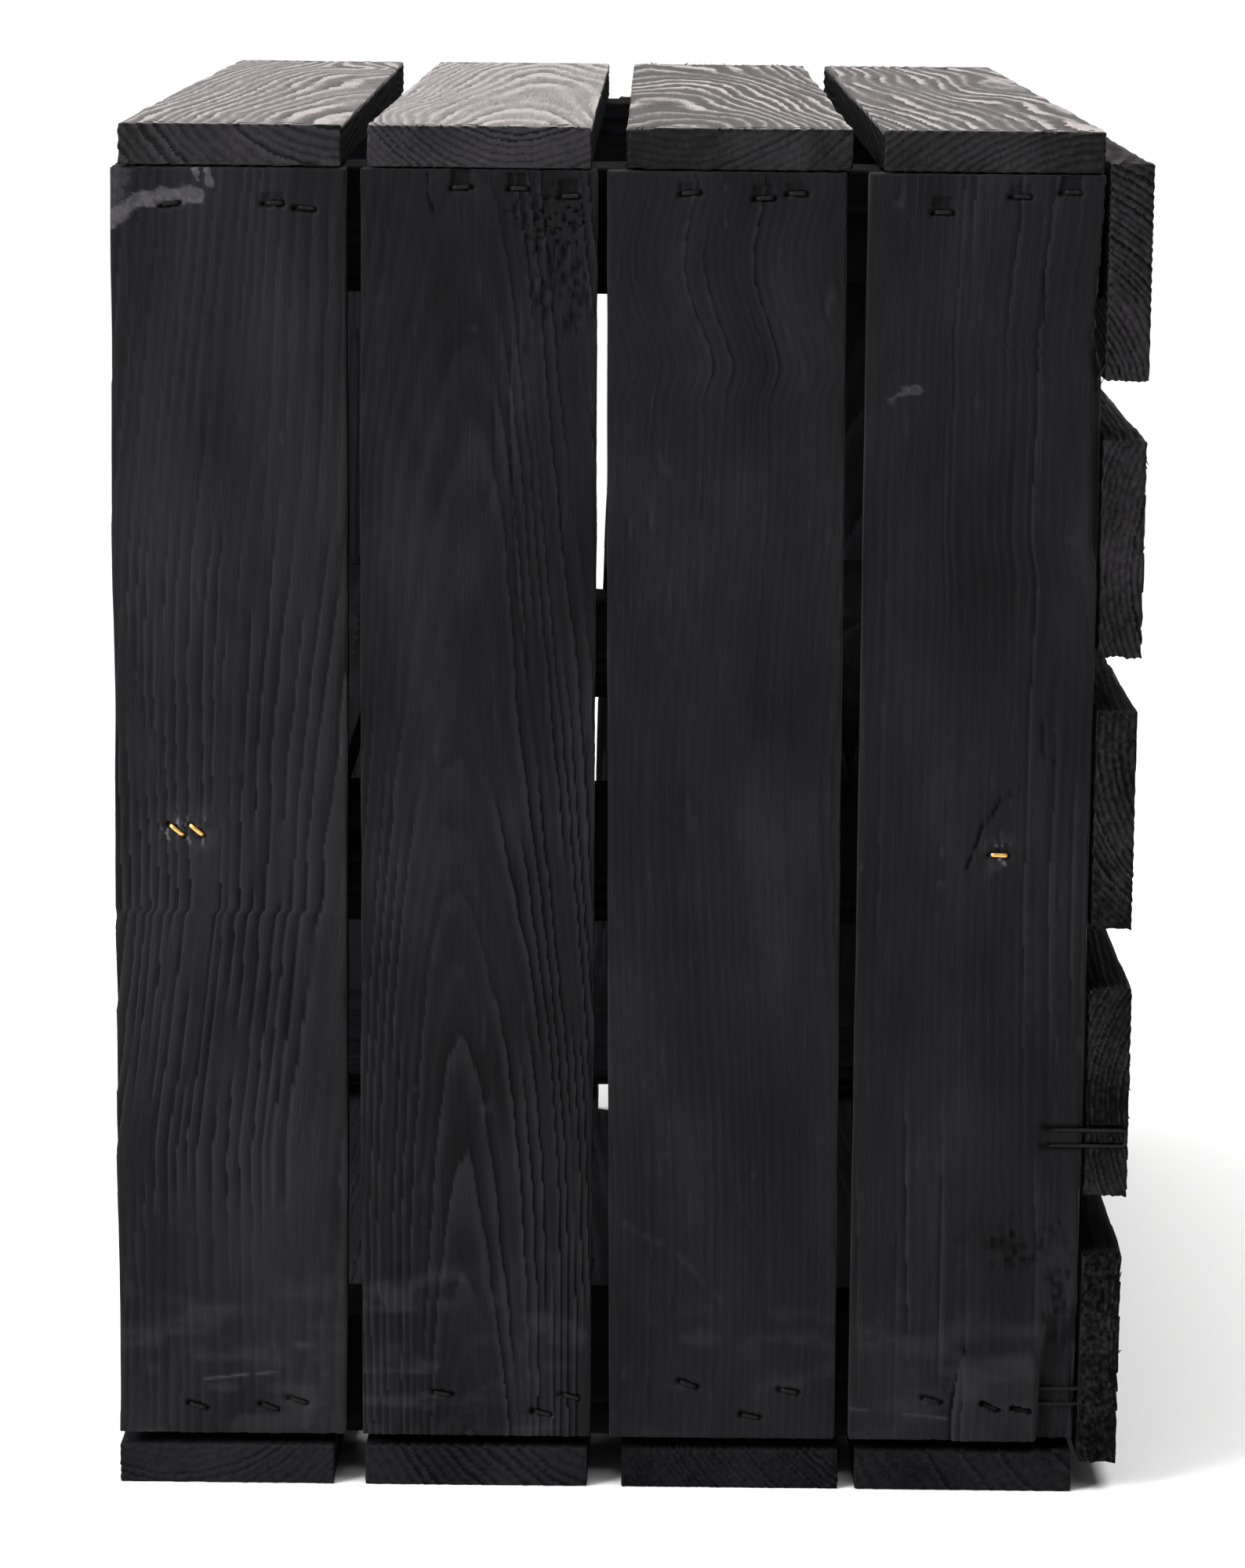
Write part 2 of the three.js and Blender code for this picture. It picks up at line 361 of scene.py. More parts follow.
def facing_out(points, faces):
    """The same quads, turned if need be so that the closed surface faces outwards."""
    p0, p1, p2, p3 = (points[faces[:, k]] for k in range(4))
    volume = (np.cross(p0, p1) * p2).sum() + (np.cross(p0, p2) * p3).sum()
    return faces if volume > 0 else faces[:, ::-1]


def plain_rings(a, w):
    """All of the torn grain shows, and it doesn't lean."""
    return 1.0, 0.0


def side_insets(a, w, t, size, worn_in, wood, seed):
    """How far each side lies inside the CAD solid before any marks, and the pits in the ends."""
    length, width, thick = size
    arris = wood["arris"] * (1 + 0.7 * noise(a / 17, w / 31 + t / 7, seed + 20))
    arris = arris + 1.2 * smooth(0.75, 1.0, noise(a / 9, w / 9 + t / 5, seed + 21))
    by_faces = np.maximum(rounding(t, arris), rounding(thick - t, arris))
    by_edges = np.maximum(rounding(w, arris), rounding(width - w, arris))
    by_ends = np.maximum(rounding(a, arris), rounding(length - a, arris))
    edge_saw = wood["edge_saw"] * (1 + fractal(t / 2.2, a / 24, seed + 22, 2))
    wave_left = wood["wave"] * (0.5 + 0.5 * fractal(a / 95, 0 * a, seed + 23, 3))
    wave_right = wood["wave"] * (0.5 + 0.5 * fractal(a / 95, 0 * a, seed + 24, 3))
    pits = fractal(w / 1.1, t / 1.1, seed + 25, 3)
    insets = {
        "face": worn_in + saw_relief(a, w, wood, seed) + np.maximum(by_edges, by_ends),
        "back": worn_in + saw_relief(a, w, wood, seed + 40) + np.maximum(by_edges, by_ends),
        "left": worn_in + edge_saw + wave_left + np.maximum(by_faces, by_ends),
        "right": worn_in + edge_saw + wave_right + np.maximum(by_faces, by_ends),
        "end": 0.7 * worn_in + wood["end_saw"] * (1 + pits) + np.maximum(by_faces, by_edges),
    }
    return insets, pits


def stain_tone(grain_tone, on_face, on_end, on_edge, pits, cut, wood):
    """How pale the stain is, by the grain, the side of the board and its pits, with painted shade in its
    cuts.
    """
    contrast = np.where(on_end, wood["end_tone"], np.where(on_face, wood["face_tone"], 1.0))
    tone = wood["tone"] + contrast * grain_tone
    tone = tone - 0.45 * wood["end_saw"] * pits * on_end
    # Painted shade: the face is darker in its cuts; where a mark raises it, as the lifted slab, it is painted
    # paler as a highlight.
    return tone + wood["edge_tone"] * on_edge - 0.15 * np.minimum(cut * on_face, 1.2)


LEAN_MARGIN = 16    # width over which leaning grain fades out towards the long edges
SKIN = 1.0          # depth from which the long edges are dull and take edge_tone and the edge stain, which paint shade in the gaps
BROKEN_SKIN = 4.5   # the same where an edge has broken away
GRAIN_STEP = np.array([917.0, 331.0, 127.0])  # puts each board in its own part of the stain's noise


def make_board(node, axes, wood, seed, steps=(2.4, 1.0, 1.0), fine=(0.8, ()), marks=(), end_marks=(),
               edge_shape=None, rings=plain_rings):
    """A board with grain, saw marks, worn arrises and wandering edges, in place of its CAD solid.

    axes are the directions along the grain, across it and inward from the outer face, steps the grid's
    along those, and fine a closer step along the grain and where it is used. marks cut the outer face and
    end_marks the end at the foot, edge_shape(a, t) says how much further the right-hand edge is broken
    away, and rings(a, w) how much of the torn grain shows and how far it leans.
    """
    along, across, inward = axes
    place = board_place(node, along, across, inward)
    length = place["a"][1] - place["a"][0]
    width = max(place["foot"][1] - place["foot"][0], place["head"][1] - place["head"][0])
    thick = place["t"][1] - place["t"][0]
    a_grid = graded(length, steps[0], *fine)
    w_grid = graded(width, steps[1])
    t_grid = graded(thick, steps[2])
    (ia, iw, it), faces = shell(a_grid, w_grid, t_grid)
    a, w, t = a_grid[ia], w_grid[iw], t_grid[it]

    shown, lean = rings(a, w)
    w = w - lean * smooth(0, LEAN_MARGIN, w) * (1 - smooth(width - LEAN_MARGIN, width, w))
    share_a, share_w, share_t = a / length, w / width, t / thick
    low_edge = place["foot"][0] + (place["head"][0] - place["foot"][0]) * share_a
    high_edge = place["foot"][1] + (place["head"][1] - place["foot"][1]) * share_a
    here = low_edge * (1 - share_w) + high_edge * share_w
    cut, rubbed = all_marks(marks, here, place["a"][0] + a)
    end_cut, end_rubbed = all_marks(end_marks, here, t)
    worn_in, grain_tone = grain_relief(a, w, t, wood, seed, shown, lean)
    inset, pits = side_insets(a, w, t, (length, width, thick), worn_in, wood, seed)
    if edge_shape is not None:
        inset["right"] = inset["right"] + edge_shape(place["a"][0] + a, t)

    out_a = place["a"][0] + (inset["end"] + end_cut) * (1 - share_a) + (length - inset["end"]) * share_a
    out_w = (low_edge + inset["left"]) * (1 - share_w) + (high_edge - inset["right"]) * share_w
    face, back = place["t"][0] + (inset["face"] + cut), place["t"][1] - inset["back"]
    out_t = face * (1 - share_t) + back * share_t
    points = out_a[:, None] * along + out_w[:, None] * across + out_t[:, None] * inward

    skin = SKIN if edge_shape is None else BROKEN_SKIN
    last_a, last_w = len(a_grid) - 1, len(w_grid) - 1
    # Long edges and the head below the skin get edge_tone, which is painted shade where it is below 0.
    on_edge = ((iw == 0) | (iw == last_w) | (ia == last_a)) & (t > skin)
    tone = stain_tone(grain_tone, it == 0, (ia == 0) | (ia == last_a), on_edge, pits, cut, wood)
    rubbed = np.where(it == 0, rubbed, 0) + np.where(ia == 0, end_rubbed, 0)
    grain = np.stack([a, w + lean, t], 1) + GRAIN_STEP * (seed % 17)
    attributes = {"grain": grain, "tone": tone, "worn": rubbed}
    piece = write_mesh(f"{node}_wood", points, facing_out(points, faces), attributes)
    # Painted shade: the long edges deep in the gaps take the darker edge stain.
    on_side = (iw[faces] == 0).all(1) | (iw[faces] == last_w).all(1)
    dull_shaded_side = on_side & (t[faces] > skin).all(1)
    piece.data.polygons.foreach_set("material_index", dull_shaded_side.astype(np.int32))
    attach(piece, "root")
    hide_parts(node)
    return piece


# ---------- staples and splinters

WIRE = {"width": 1.25, "thick": 1.0, "bend": 1.1}
CROWN = 5.9         # a staple's outer width
LEG = 10.5          # a leg's length where there is no CAD staple
LEG_SHORT = 0.6     # how much shorter it is than a CAD staple's
SECTION = 12        # points round a section


def swept(middles, sides, ups, widths, heights):
    """A closed bar through a row of middles, with a rounded rectangle at each."""
    turn = 2 * np.pi * (np.arange(SECTION) + 0.5) / SECTION
    u = np.sign(np.cos(turn)) * np.abs(np.cos(turn)) ** 0.5
    v = np.sign(np.sin(turn)) * np.abs(np.sin(turn)) ** 0.5
    wide = sides[:, None, :] * (u[None, :, None] * widths[:, None, None] / 2)
    tall = ups[:, None, :] * (v[None, :, None] * heights[:, None, None] / 2)
    points = (middles[:, None, :] + wide + tall).reshape(-1, 3)
    count = len(middles)
    ids = np.arange(count * SECTION).reshape(count, SECTION)
    around = np.concatenate([ids, ids[:, :1]], 1)
    caps = []
    for ring in (ids[0][::-1], ids[-1]):
        for k in range(SECTION // 2 - 1):
            caps.append([ring[k], ring[k + 1], ring[SECTION - 2 - k], ring[SECTION - 1 - k]])
    faces = np.concatenate([quads(around), np.array(caps)])
    return points, facing_out(points, faces)


def staple_wire(middle, crown, leg, reach, bow):
    """A bent staple, from its crown's middle, the directions of crown and legs, its length and its sag."""
    half = CROWN / 2 - WIRE["thick"] / 2
    bend = WIRE["bend"]
    u, d, turn = [-half] * 4, [reach, reach - 3, reach / 2, bend + 2], [0] * 4
    for angle in np.radians((0, 22.5, 45, 67.5, 90)):
        u.append(-half + bend * (1 - np.cos(angle)))
        d.append(bend * (1 - np.sin(angle)))
        turn.append(angle)
    u.append(-half / 3)
    d.append(0)
    turn.append(np.pi / 2)
    u = np.array(u + [-value for value in u[::-1]])
    d = np.array(d + d[::-1])
    turn = np.array(turn + [np.pi - value for value in turn[::-1]])
    d = d + bow * (1 - (u / half) ** 2) * (d < bend)
    side = np.cross(crown, leg)
    ups = -np.cos(turn)[:, None] * crown - np.sin(turn)[:, None] * leg
    middles = middle + u[:, None] * crown + (d + WIRE["thick"] / 2)[:, None] * leg
    point = np.where(d > reach - 1, 0.25, 1.0)
    sides = np.repeat(side[None, :], len(u), 0)
    return swept(middles, sides, ups, np.full(len(u), WIRE["width"]), WIRE["thick"] * point)


def joined(solids):
    """Several closed solids as one set of points and faces."""
    points, faces, count = [], [], 0
    for solid_points, solid_faces in solids:
        points.append(solid_points)
        faces.append(solid_faces + count)
        count += len(solid_points)
    return np.concatenate(points), np.concatenate(faces)


def read_staple(node, inward):
    """A CAD staple's crown middle, its crown's direction and the reach of its legs."""
    points = cad_points(node)
    depth = points @ inward
    crown = points[depth < depth.min() + 0.2]
    middle = crown.mean(0)
    direction = np.linalg.svd(crown - middle)[2][0]
    direction = direction * np.sign(direction @ (X + Z))
    return middle, direction, depth.max() - depth.min()


def cad_staple(node, inward, metal_kind, seed):
    """A bent-wire staple in place of a CAD staple, and where it sits."""
    middle, crown, reach = read_staple(node, inward)
    bow = 0.35 * noise(seed * 1.7, 0.4, 51)
    points, faces = staple_wire(middle, crown, inward, reach - LEG_SHORT, bow)
    piece = write_mesh(f"{node}_wire", points, faces, {"grain": points})
    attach(piece, "root")
    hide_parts(node)
    finish_piece(piece, metal_kind)
    return middle, crown


def unit(vector):
    return vector / np.linalg.norm(vector)


def splinter(root, direction, lift, length, width):
    """A torn fibre: a thin blade that curls away from the surface."""
    share = np.array([0.0, 0.35, 0.7, 1.0])
    middles = root + (share * length)[:, None] * direction + (share**1.6 * length * 0.22)[:, None] * lift
    side = np.cross(direction, lift)
    sides = np.repeat(side[None, :], 4, 0)
    ups = np.repeat(lift[None, :], 4, 0)
    widths = width * np.array([1.0, 0.9, 0.55, 0.12])
    return swept(middles, sides, ups, widths, widths * 0.45)


# ---------- materials


def new_material(name):
    material = bpy.data.materials.new(name)
    material.use_nodes = True
    nodes = material.node_tree.nodes
    nodes.clear()
    shader = nodes.new("ShaderNodeBsdfPrincipled")
    output = nodes.new("ShaderNodeOutputMaterial")
    material.node_tree.links.new(shader.outputs["BSDF"], output.inputs["Surface"])
    return material, shader


class Graph:
    """Short calls for the node types in use."""

    def __init__(self, material):
        self.nodes = material.node_tree.nodes
        self.links = material.node_tree.links

    def link(self, source, target):
        self.links.new(source, target)

    def attribute(self, name, output="Fac"):
        node = self.nodes.new("ShaderNodeAttribute")
        node.attribute_name = name
        return node.outputs[output]

    def scaled(self, vector, scale):
        node = self.nodes.new("ShaderNodeMapping")
        node.inputs["Scale"].default_value = scale
        self.link(vector, node.inputs["Vector"])
        return node.outputs["Vector"]

    def noise(self, vector, scale, detail=4.0, roughness=0.6):
        node = self.nodes.new("ShaderNodeTexNoise")
        node.inputs["Scale"].default_value = scale
        node.inputs["Detail"].default_value = detail
        node.inputs["Roughness"].default_value = roughness
        self.link(vector, node.inputs["Vector"])
        return node.outputs["Fac"]

    def plus(self, total, layer, weight):
        return self.math("ADD", total, self.math("MULTIPLY", layer, weight))

    def math(self, operation, first, second=0.0):
        node = self.nodes.new("ShaderNodeMath")
        node.operation = operation
        for socket, value in zip(node.inputs, (first, second)):
            if isinstance(value, (int, float)):
                socket.default_value = value
            else:
                self.link(value, socket)
        return node.outputs["Value"]

    def ranged(self, value, low, high, to_low, to_high):
        node = self.nodes.new("ShaderNodeMapRange")
        node.interpolation_type = "SMOOTHSTEP"
        ends = {"From Min": low, "From Max": high, "To Min": to_low, "To Max": to_high}
        for label, number in ends.items():
            node.inputs[label].default_value = number
        self.link(value, node.inputs["Value"])
        return node.outputs["Result"]

    def mix(self, factor, first, second):
        node = self.nodes.new("ShaderNodeMix")
        node.data_type = "RGBA"
        self.link(factor, node.inputs["Factor"])
        for socket, value in ((node.inputs["A"], first), (node.inputs["B"], second)):
            if isinstance(value, tuple):
                socket.default_value = (*value, 1.0)
            else:
                self.link(value, socket)
        return node.outputs["Result"]

    def bump(self, height, distance, strength):
        node = self.nodes.new("ShaderNodeBump")
        node.inputs["Distance"].default_value = distance
        node.inputs["Strength"].default_value = strength
        self.link(height, node.inputs["Height"])
        return node.outputs["Normal"]


def stained_wood(name, dark, light, roughness, gloss):
    """Black water stain: dark in the pores, paler on the hard rings, worn off in places; painted shade in the
    cuts.
    """
    material, shader = new_material(name)
    g = Graph(material)
    grain = g.attribute("grain", "Vector")
    fibre = g.noise(g.scaled(grain, (0.035, 1.0, 1.0)), 1.4, 6.0, 0.65)
    hair = g.noise(g.scaled(grain, (0.055, 1.0, 1.0)), 3.2, 3.0, 0.7)
    blotch = g.noise(g.scaled(grain, (0.012, 0.03, 0.03)), 1.0, 3.0, 0.5)
    streak = g.noise(g.scaled(grain, (0.018, 1.0, 1.0)), 0.42, 3.0, 0.55)
    ridge = g.ranged(g.math("ABSOLUTE", g.math("SUBTRACT", streak, 0.5)), 0.0, 0.022, 1.0, 0.0)
    ridge_cover = g.noise(g.scaled(grain, (0.02, 0.08, 0.08)), 1.0)
    ridge = g.math("MULTIPLY", ridge, g.ranged(ridge_cover, 0.42, 0.62, 0.0, 1.0))
    speckle = g.noise(g.scaled(grain, (0.5, 1.0, 1.0)), 1.6, 5.0, 0.75)
    tone = g.attribute("tone")
    for layer, weight in ((fibre, 0.24), (blotch, 0.9), (hair, 0.22), (speckle, 0.32), (ridge, 0.22)):
        tone = g.plus(tone, layer, weight)
    stain = g.mix(g.ranged(tone, 0.41, 1.31, 0.0, 1.0), dark, light)
    g.link(g.mix(g.attribute("worn"), stain, PALE_WOOD), shader.inputs["Base Color"])
    polish = g.plus(g.attribute("tone"), fibre, 0.5)
    g.link(g.ranged(polish, -0.1, 0.65, roughness + 0.2, roughness - 0.2), shader.inputs["Roughness"])
    height = g.plus(g.plus(fibre, hair, 0.5), ridge, 0.5)
    g.link(g.bump(height, 0.0005, 0.45), shader.inputs["Normal"])
    shader.inputs["Specular IOR Level"].default_value = gloss
    shader.inputs["Sheen Weight"].default_value = gloss
    shader.inputs["Sheen Roughness"].default_value = 0.3
    return material


def metal(name, bare, paint, cover, roughness, gloss=0.5):
    """Wire that is partly covered: paint on the steel, or tarnish on the brass."""
    material, shader = new_material(name)
    g = Graph(material)
    place = g.attribute("grain", "Vector")
    spots = g.noise(place, 0.9, 4.0, 0.6)
    covered = g.ranged(spots, cover - 0.06, cover + 0.06, 1.0, 0.0)
    g.link(g.mix(covered, bare, paint), shader.inputs["Base Color"])
    g.link(g.ranged(covered, 0.0, 1.0, 1.0, 0.1), shader.inputs["Metallic"])
    g.link(g.ranged(spots, 0.2, 0.8, roughness - 0.1, roughness + 0.2), shader.inputs["Roughness"])
    g.link(g.bump(g.noise(place, 3.0), 0.0001, 0.5), shader.inputs["Normal"])
    shader.inputs["Specular IOR Level"].default_value = gloss
    return material


PALE_WOOD = (0.15, 0.143, 0.158)
BLACK = ((0.0021, 0.0019, 0.0024), (0.0158, 0.0149, 0.0177))
WEATHERED = ((0.0019, 0.0018, 0.0021), (0.030, 0.028, 0.0305))
BASE_BLACK = ((0.0022, 0.002, 0.0022), (0.028, 0.0262, 0.0282))
# Painted shade: a darker copy of the black stain for the posts, battens and shelf inside the crate and the
# board edges in the gaps.
PAINTED_SHADE_BLACK = ((0.002, 0.0019, 0.0023), (0.013, 0.0122, 0.0145))
FINISHES = {
    "end_wall": stained_wood("end_wall_stain", *BLACK, 0.62, 0.09),
    "top": stained_wood("weathered_stain", *WEATHERED, 0.42, 0.09),
    "floor": stained_wood("floor_side_stain", *BLACK, 0.65, 0.02),
    "base": stained_wood("base_stain", *BASE_BLACK, 0.62, 0.03),
    "post": stained_wood("post_painted_shade_stain", *PAINTED_SHADE_BLACK, 0.65, 0.01),
    "edge": stained_wood("edge_painted_shade_stain", *PAINTED_SHADE_BLACK, 0.7, 0.01),
    "shelf": stained_wood("shelf_painted_shade_stain", *PAINTED_SHADE_BLACK, 0.65, 0.01),
    "steel": metal("painted_steel", (0.06, 0.057, 0.059), (0.006, 0.0057, 0.0065), 0.66, 0.6, 0.15),
    "brass": metal("tarnished_brass", (0.85, 0.48, 0.14), (0.42, 0.17, 0.04), 0.40, 0.35),
}


def finish_piece(piece, finish):
    """Give a piece its material."""
    piece.data.materials.append(FINISHES[finish])


def finish_board(piece, finish):
    """The same for a board, whose long edges keep a duller, darker stain: painted shade in the gaps."""
    finish_piece(piece, finish)
    piece.data.materials.append(FINISHES["edge"])


# ---------- the crate's boards


def merged(**changes):
    """A cut of wood that differs from the usual one."""
    return {**WOOD, **changes}


# Painted shade: the end walls' long edges and heads, deep in the gaps, are darkened by edge_tone.
GAP_SHADE = {"edge_tone": -0.3}
END_WALL = [
    merged(**GAP_SHADE, pith=(100, 40), saw_width=1.4, relief=0.03, ring=2.9, warp=2.0, wave=0.9, torn=0.42,
           torn_reach=30, torn_from=-0.4),
    merged(**GAP_SHADE, pith=(32, 6), taper=0.085, relief=0.04, saw=0.035, ring=2.2, warp=2.4, wave=0.8, torn=0.34,
           torn_reach=70, torn_from=-0.3, tone=-0.12),
    merged(**GAP_SHADE, pith=(-60, 30), relief=0.02, saw=0.045, saw_width=1.2, ring=2.6, wave=0.5, torn=0.3,
           torn_reach=140, torn_from=0.3, tone=-0.08),
    merged(**GAP_SHADE, pith=(130, 25), relief=0.02, saw=0.035, saw_width=1.2, ring=3.0, wave=0.4, torn=0.2,
           torn_reach=110, torn_from=0.4, tone=-0.09),
]
REAR_WALL = [{**END_WALL[(i + 2) % 4], "wave": 2.4 if i == 2 else 0.6} for i in range(4)]
# Its edge_tone of -0.2 paints shade on the top boards' long edges and heads, in the gaps.
WEATHER = {"saw": 0.09, "wave": 0.6, "edge_tone": -0.2, "end_saw": 0.12, "ring_tone": 0.16}
# The top boards' tones, paler on the second and darker on the third and fourth, paint how bright their glare
# is: painted highlight and painted shade.
LONG_WALL = [
    merged(**WEATHER, pith=(74, 38), taper=0.034, relief=0.28, ring=3.2, face_tone=1.3,
           end_tone=-1.5, knots=((420, 55, 16),)),
    merged(**WEATHER, pith=(46, 38), taper=0.03, relief=0.2, ring=2.2, chatter=0.2,
           end_tone=-1.7, tone=0.1),
    merged(**WEATHER, pith=(14, 50), taper=0.048, relief=0.5, ring=2.6, chatter=0.15, face_tone=2.6,
           end_tone=-0.7, tone=-0.16),
    merged(**WEATHER, pith=(84, -120), taper=0.03, relief=0.34, ring=2.6, warp=2.2, face_tone=1.8,
           end_tone=-0.8, tone=-0.12),
]
FLOOR_WALL = [
    merged(pith=(15, -50), relief=0.16, saw=0.10, ring=2.4, ring_tone=0.12, end_saw=0.2, tone=0.15),
    merged(pith=(95, -60), relief=0.16, saw=0.10, ring=3.2, ring_tone=0.14, end_saw=0.2, tone=0.1),
    merged(pith=(120, -70), relief=0.30, saw=0.14, ring=1.9, ring_tone=0.12, end_saw=0.2, tone=-0.05),
    merged(pith=(110, -60), relief=0.16, saw=0.10, ring=4.0, ring_tone=0.12, end_saw=0.2),
]
EDGED = {"saw": 0.12, "wave": 0.7, "edge_tone": 0.1, "edge_saw": 0.35}
# The base boards' tones darken board by board towards the floor: painted shade of the light's fall-off.
BASE = [
    merged(**EDGED, pith=(-5, -43), relief=0.35, ring=2.1, ring_tone=0.2, end_saw=0.25),
    merged(**EDGED, pith=(30, 70), relief=0.32, ring=2.0, ring_tone=0.18, end_saw=0.25, tone=-0.08),
    merged(**EDGED, pith=(62, 55), relief=0.35, ring=2.2, ring_tone=0.18, end_saw=0.3, tone=-0.14),
    merged(**EDGED, pith=(30, 50), relief=0.3, ring=1.8, ring_tone=0.16, end_saw=0.25, tone=-0.16),
    merged(**EDGED, pith=(34, 90), relief=0.20, ring=1.6, torn=0.4, end_saw=0.5, tone=-0.22),
]
POST = merged(pith=(50, 40), relief=0.10, saw=0.10, ring=2.6, wave=0.2, arris=0.8, tone=-0.05)
SHELF = merged(pith=(20, 50), relief=0.10, saw=0.06, ring=2.8, wave=0.3, tone=-0.1)

FRONT = (Z, X, Y)
REAR = (Z, X, -Y)
TOP = (Y, X, -Z)
FLOOR = (Y, X, Z)
SIDE = (Y, Z, -X)

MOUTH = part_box("front_board_1")[0].x / MM
FRONT_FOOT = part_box("front_board_1")[0].z / MM


def at(x, z):
    """A place on the front wall, from the mouth's edge and the floor."""
    return MOUTH + x, z


def sawn_rings(a, w):
    """The first board's torn grain is strong on both sides of a line where the saw stuck, and leans."""
    q = a + FRONT_FOOT
    shown = 0.35 + 0.8 * window(q, 100, 181, 22) + 0.55 * window(q, 192, 285, 20)
    lean = np.where(q < 182, 1.4 + 0.12 * np.minimum(182 - q, 75), -0.04 * (q - 182))
    return shown, lean


def arched_rings(a, w):
    """The second board's torn grain is strong along its right side and in its lower half."""
    return 0.12 + 0.75 * smooth(38, 48, w) + 0.7 * (1 - smooth(190, 240, a)), 0.0


def curved_rings(a, w):
    """The third board's grain swings to and fro near its head and is straight below."""
    near_head = window(a, 335, 385, 14)
    return 0.35 + 0.9 * near_head * window(w, 22, 50, 6), 3.5 * near_head * np.sin(a / 11)


CRACK_BY_BRASS = (at(275.3, 221.6), at(269.7, 218.6), at(267.2, 214),
                  at(264, 209.8), at(262, 203.5), at(259.5, 197))
LIFTED_CRACK = (at(262.5, 44.5), at(260.6, 38), at(258.8, 28), at(258.2, 14))
LEG_GROOVES = ((116.0, 286), (110.4, 285.6))  # each one's height, and how far from the mouth it starts
LEG_GROOVE_DEPTH = 1.7


def lifted_slab(p, q):
    """Wood split from the last board's foot that stands proud of its face."""
    left = MOUTH + 258.2 + 0.004 * np.maximum(q - 16, 0) ** 2
    inside = smooth(left - 0.3, left + 0.5, p) * (1 - smooth(MOUTH + 284, MOUTH + 285.2, p))
    inside = inside * (1 - smooth(41, 45, q))
    # Painted highlight: the raised slab is painted paler through the face's tone, and its left edge paler
    # still.
    return -1.1 * inside, 0.04 * inside * (1 - smooth(left + 0.8, left + 1.6, p))


def broken_corner(p, q):
    """The face of the last board's lower right corner has broken away."""
    ragged = 0.8 * noise(p / 2.5, q / 6, 61)
    edge = MOUTH + 285.2 + 0.0045 * np.maximum(q - 26, 0) ** 2 + ragged
    inside = smooth(edge - 0.3, edge + 0.5, p) * (1 - smooth(42, 66, q + 8 * ragged))
    fibres = 0.5 * fractal(p / 1.2, q / 14, 62, 3)
    return (3.9 + fibres) * inside, 0.03 * inside


def leg_grooves(p, q):
    """Grooves that the legs of a base board's staple have torn along the last board's face."""
    cut = 0 * p
    for height, start in LEG_GROOVES:
        groove = window(q, height - 0.7, height + 0.7, 0.35) * smooth(start - 3, start, p - MOUTH)
        cut = np.maximum(cut, LEG_GROOVE_DEPTH * groove)
    return cut, 0 * p


def end_grooves(p, t):
    """The same legs' grooves in the base board's front end."""
    cut = 0 * p
    for height, _ in LEG_GROOVES:
        cut = np.maximum(cut, LEG_GROOVE_DEPTH * window(p, height - 0.6, height + 0.6, 0.35))
    return cut, 0 * p


def fine_wear(seed):
    """Small nicks that every board has."""
    def mark(p, q):
        nicks = smooth(0.72, 0.9, noise(p / 3.1, q / 5.3, seed))
        nicks = nicks * smooth(0.0, 0.5, noise(p / 15, q / 30, seed + 1))
        return 0.5 * nicks, 0.05 * nicks
    return mark


SCRAPED_HEAD = (at(0, 391.5), at(3.8, 394.3), at(8, 397.6), at(17, 398.5), at(24, 399.4), at(27, 399))
FRONT_MARKS = [
    [
        worn_patch(SCRAPED_HEAD, 2.7, 0.40, 71, 0.9),
        worn_patch((at(-1, 395), at(2, 405)), 4.5, 0.16, 73, 2.0),
        worn_patch((at(25.6, 406.5), at(26.6, 403.5)), 0.9, 0.4, 75, 0.6),
        worn_patch((at(29.4, 406.5), at(30.4, 402.6)), 1.2, 0.45, 76, 0.7),
        scratch((at(26.6, 33.4), at(49.7, 35.8)), 0.4, 0.25),
        scratch((at(39.3, 43.0), at(62.4, 44.9)), 0.4, 0.12),
        scuffs(20, 55, 0.05, 77),
    ],
    [
        torn_patch(at(136, 380), (16, 32), 0.9, 81, (2.0, 1.2)),
        torn_patch(at(124, 353), (5, 4), 0.8, 83, (2.0, 1.2)),
        torn_patch(at(123, 396), (8, 5), 0.6, 84, (1.4, 1.8)),
        crack((at(95, 406), at(94.6, 400), at(96.5, 395)), 0.35, 0.7),
        crack((at(114.5, 345), at(115.8, 318), at(112.5, 306), at(105, 303.5)), 0.3, 0.45),
        crack((at(119.5, 345), at(120.5, 318), at(122.5, 280), at(126, 258)), 0.35, 0.6),
        scuffs(20, 62, 0.06, 85),
    ],
    [
        scratch((at(154.9, 84.8), at(171, 76), at(186.6, 60.1)), 0.8, 0.05),
        scuffs(20, 50, 0.04, 86),
    ],
    [
        crack(CRACK_BY_BRASS, 0.5, 1.1),
        crack((at(281.2, 381), at(281.6, 364.6)), 0.4, 0.9),
        crack((at(282, 243), at(282.2, 233), at(288, 229)), 0.45, 0.8),
        worn_patch((at(233.5, 339.5), at(236, 341.5), at(242, 343.5)), 1.3, 0.2, 91, 0.9),
        torn_patch(at(279, 78), (20, 13), 1.2, 92, (2.8, 1.5)),
        torn_patch(at(291, 62), (10, 20), 1.4, 94, (2.5, 2.2)),
        crack(LIFTED_CRACK, 0.5, 0.9),
        scratch((at(226, 26), at(257, 23)), 0.5, 0.12),
        scuffs(20, 50, 0.04, 96),
        broken_corner,
        leg_grooves,
        lifted_slab,
    ],
]


